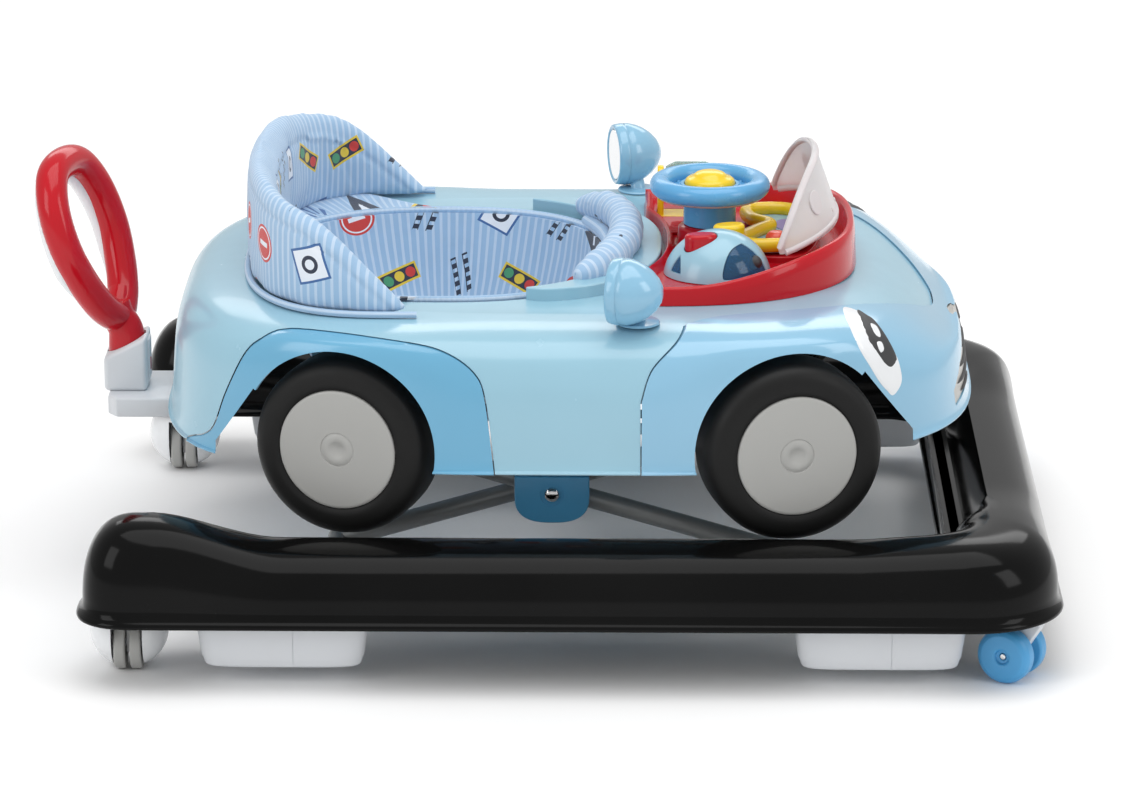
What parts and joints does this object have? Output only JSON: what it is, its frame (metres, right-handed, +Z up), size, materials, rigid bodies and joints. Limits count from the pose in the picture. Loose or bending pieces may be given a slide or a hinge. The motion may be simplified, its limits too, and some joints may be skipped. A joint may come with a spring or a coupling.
{
  "type": "baby walker",
  "caption": "Baby walker with a car-shaped body on a folding crossed-leg frame, wheeled U-shaped base, cloth sling seat, toy tray with steering wheel, and push handle.",
  "frame": {"origin": "centre of the whole walker in plan, on the floor under the wheels", "axes": "+X towards the nose of the car body, +Y to its left side, +Z up"},
  "size_m": [0.792, 0.64, 0.3471],
  "materials": {
    "base_black": "high-gloss black moulding",
    "white_plastic": "satin white",
    "grey_plastic": "satin grey",
    "bright_steel": "polished steel",
    "caster_blue": "satin blue",
    "grey_tube": "satin grey paint",
    "clip_blue": "satin deep blue",
    "pale_blue": "gloss pale blue",
    "mid_blue": "gloss mid blue",
    "light_blue": "gloss light blue",
    "silver_plastic": "silver coating",
    "black_tyre": "matt black",
    "mirror_film": "mirror film",
    "yellow_plastic": "gloss yellow",
    "clear_blue": "clear deep blue",
    "clear_teal": "clear teal",
    "frosted_plastic": "frosted clear",
    "red_plastic": "gloss red",
    "printed_cloth": "striped woven cloth"
  },
  "bodies": {
    "base": {"base_frame": "base_black", "pad_holder_rear_right": "white_plastic", "pad_holder_rear_left": "white_plastic", "pad_holder_front_right": "white_plastic", "pad_holder_front_left": "white_plastic"},
    "inner_leg": {"leg_inner": "grey_tube", "pivot_rivet_right": "bright_steel", "pivot_rivet_left": "bright_steel"},
    "outer_leg": {"leg_outer": "grey_tube", "pivot_clip_right": "clip_blue", "pivot_clip_left": "clip_blue"},
    "car": {"car_body": "pale_blue", "front_fascia": "light_blue", "grille": "silver_plastic", "toy_tray": "red_plastic", "pod_shell": "pale_blue", "pod_window": "clear_blue", "picture_frame": "yellow_plastic", "roller_stand": "yellow_plastic", "windscreen": "frosted_plastic", "handle_bracket": "white_plastic", "seat_back": "printed_cloth", "seat_sling": "printed_cloth", "rear_fender_right": "mid_blue", "rear_fender_left": "mid_blue"},
    "rear_caster_right": {"rear_caster_hood_right": "white_plastic"},
    "rear_wheel_inner_right": {"rear_caster_wheel_inner_right": "grey_plastic"},
    "rear_wheel_outer_right": {"rear_caster_wheel_outer_right": "grey_plastic"},
    "front_caster_right": {"front_caster_fork_right": "white_plastic", "front_caster_axle_right": "bright_steel"},
    "front_wheel_outer_right": {"front_caster_wheel_outer_right": "caster_blue"},
    "front_wheel_inner_right": {"front_caster_wheel_inner_right": "caster_blue"},
    "rear_caster_left": {"rear_caster_hood_left": "white_plastic"},
    "rear_wheel_inner_left": {"rear_caster_wheel_inner_left": "grey_plastic"},
    "rear_wheel_outer_left": {"rear_caster_wheel_outer_left": "grey_plastic"},
    "front_caster_left": {"front_caster_fork_left": "white_plastic", "front_caster_axle_left": "bright_steel"},
    "front_wheel_outer_left": {"front_caster_wheel_outer_left": "caster_blue"},
    "front_wheel_inner_left": {"front_caster_wheel_inner_left": "caster_blue"},
    "road_wheel_rear_right": {"tyre_rear_right": "black_tyre", "hubcap_rear_right": "grey_plastic"},
    "road_wheel_rear_left": {"tyre_rear_left": "black_tyre", "hubcap_rear_left": "grey_plastic"},
    "road_wheel_front_right": {"tyre_front_right": "black_tyre", "hubcap_front_right": "grey_plastic"},
    "road_wheel_front_left": {"tyre_front_left": "black_tyre", "hubcap_front_left": "grey_plastic"},
    "mirror_right": {"mirror_housing_right": "light_blue", "mirror_glass_right": "mirror_film"},
    "mirror_left": {"mirror_housing_left": "light_blue", "mirror_glass_left": "mirror_film"},
    "steering": {"steering_wheel": "mid_blue"},
    "horn": {"horn_button": "yellow_plastic"},
    "red_key": {"red_button": "red_plastic"},
    "yellow_key": {"yellow_button": "yellow_plastic"},
    "roller": {"roller_barrel": "clear_teal"},
    "handle": {"push_handle": "red_plastic", "handle_grip": "white_plastic"}
  },
  "joints": [
    {"name": "raise", "type": "hinge", "parent": "base", "child": "inner_leg", "pos_m": [-0.155, 0, 0.064], "axis": [0, -1, 0], "range_deg": [0, 33.9]},
    {"name": "leg_crossing", "type": "hinge", "parent": "inner_leg", "child": "outer_leg", "pos_m": [0.011, 0, 0.112], "axis": [0, -1, 0], "range_deg": [-68, 0]},
    {"name": "body_pivot", "type": "hinge", "parent": "outer_leg", "child": "car", "pos_m": [-0.155, 0, 0.16], "axis": [0, -1, 0], "range_deg": [0, 34.1]},
    {"name": "rear_caster_swivel_right", "type": "hinge", "parent": "base", "child": "rear_caster_right", "pos_m": [-0.306, -0.252, 0.05], "axis": [0, 0, 1], "continuous": true},
    {"name": "rear_wheel_inner_spin_right", "type": "hinge", "parent": "rear_caster_right", "child": "rear_wheel_inner_right", "pos_m": [-0.312, -0.258, 0.02], "axis": [1, 0, 0], "continuous": true},
    {"name": "rear_wheel_outer_spin_right", "type": "hinge", "parent": "rear_caster_right", "child": "rear_wheel_outer_right", "pos_m": [-0.3, -0.258, 0.02], "axis": [1, 0, 0], "continuous": true},
    {"name": "front_caster_swivel_right", "type": "hinge", "parent": "base", "child": "front_caster_right", "pos_m": [0.37, -0.279, 0.05], "axis": [0, 0, 1], "continuous": true},
    {"name": "front_wheel_outer_spin_right", "type": "hinge", "parent": "front_caster_right", "child": "front_wheel_outer_right", "pos_m": [0.35065, -0.28344, 0.0213], "axis": [0.4695, 0.8829, 0], "continuous": true},
    {"name": "front_wheel_inner_spin_right", "type": "hinge", "parent": "front_caster_right", "child": "front_wheel_inner_right", "pos_m": [0.36286, -0.26048, 0.0213], "axis": [0.4695, 0.8829, 0], "continuous": true},
    {"name": "rear_caster_swivel_left", "type": "hinge", "parent": "base", "child": "rear_caster_left", "pos_m": [-0.306, 0.252, 0.05], "axis": [0, 0, 1], "continuous": true},
    {"name": "rear_wheel_inner_spin_left", "type": "hinge", "parent": "rear_caster_left", "child": "rear_wheel_inner_left", "pos_m": [-0.312, 0.246, 0.02], "axis": [1, 0, 0], "continuous": true},
    {"name": "rear_wheel_outer_spin_left", "type": "hinge", "parent": "rear_caster_left", "child": "rear_wheel_outer_left", "pos_m": [-0.3, 0.246, 0.02], "axis": [1, 0, 0], "continuous": true},
    {"name": "front_caster_swivel_left", "type": "hinge", "parent": "base", "child": "front_caster_left", "pos_m": [0.37, 0.279, 0.05], "axis": [0, 0, 1], "continuous": true},
    {"name": "front_wheel_outer_spin_left", "type": "hinge", "parent": "front_caster_left", "child": "front_wheel_outer_left", "pos_m": [0.35065, 0.27456, 0.0213], "axis": [0.4695, 0.8829, 0], "continuous": true},
    {"name": "front_wheel_inner_spin_left", "type": "hinge", "parent": "front_caster_left", "child": "front_wheel_inner_left", "pos_m": [0.36286, 0.29752, 0.0213], "axis": [0.4695, 0.8829, 0], "continuous": true},
    {"name": "road_wheel_rear_spin_right", "type": "hinge", "parent": "car", "child": "road_wheel_rear_right", "pos_m": [-0.1495, -0.231, 0.163], "axis": [-0.3, -0.9539, 0], "continuous": true},
    {"name": "road_wheel_rear_spin_left", "type": "hinge", "parent": "car", "child": "road_wheel_rear_left", "pos_m": [-0.1495, 0.231, 0.163], "axis": [-0.3, 0.9539, 0], "continuous": true},
    {"name": "road_wheel_front_spin_right", "type": "hinge", "parent": "car", "child": "road_wheel_front_right", "pos_m": [0.1955, -0.242, 0.163], "axis": [0.239, -0.971, 0], "continuous": true},
    {"name": "road_wheel_front_spin_left", "type": "hinge", "parent": "car", "child": "road_wheel_front_left", "pos_m": [0.1955, 0.242, 0.163], "axis": [0.239, 0.971, 0], "continuous": true},
    {"name": "mirror_turn_right", "type": "hinge", "parent": "car", "child": "mirror_right", "pos_m": [0.076, -0.2, 0.25], "axis": [0, 0, 1], "range_deg": [-30, 30]},
    {"name": "mirror_turn_left", "type": "hinge", "parent": "car", "child": "mirror_left", "pos_m": [0.076, 0.2, 0.25], "axis": [0, 0, 1], "range_deg": [-30, 30]},
    {"name": "steering_turn", "type": "hinge", "parent": "car", "child": "steering", "pos_m": [0.132, 0, 0.31], "axis": [0, 0, 1], "continuous": true},
    {"name": "horn_press", "type": "slide", "parent": "steering", "child": "horn", "axis": [0, 0, -1], "range_m": [0, 0.0025], "stiffness_N_per_m": 300, "springref_m": -0.002},
    {"name": "red_button_press", "type": "slide", "parent": "car", "child": "red_key", "axis": [0, 0, -1], "range_m": [0, 0.003], "stiffness_N_per_m": 250, "springref_m": -0.002},
    {"name": "yellow_button_press", "type": "slide", "parent": "car", "child": "yellow_key", "axis": [0, 0, -1], "range_m": [0, 0.003], "stiffness_N_per_m": 250, "springref_m": -0.002},
    {"name": "roller_spin", "type": "hinge", "parent": "car", "child": "roller", "pos_m": [0.118, 0.098, 0.292], "axis": [1, 0, 0], "continuous": true},
    {"name": "handle_lift", "type": "slide", "parent": "car", "child": "handle", "axis": [0, 0, 1], "range_m": [0, 0.05]}
  ],
  "couplings": [
    {"joint": "leg_crossing", "follows": "raise", "ratio": -2},
    {"joint": "body_pivot", "follows": "raise", "ratio": 1}
  ]
}
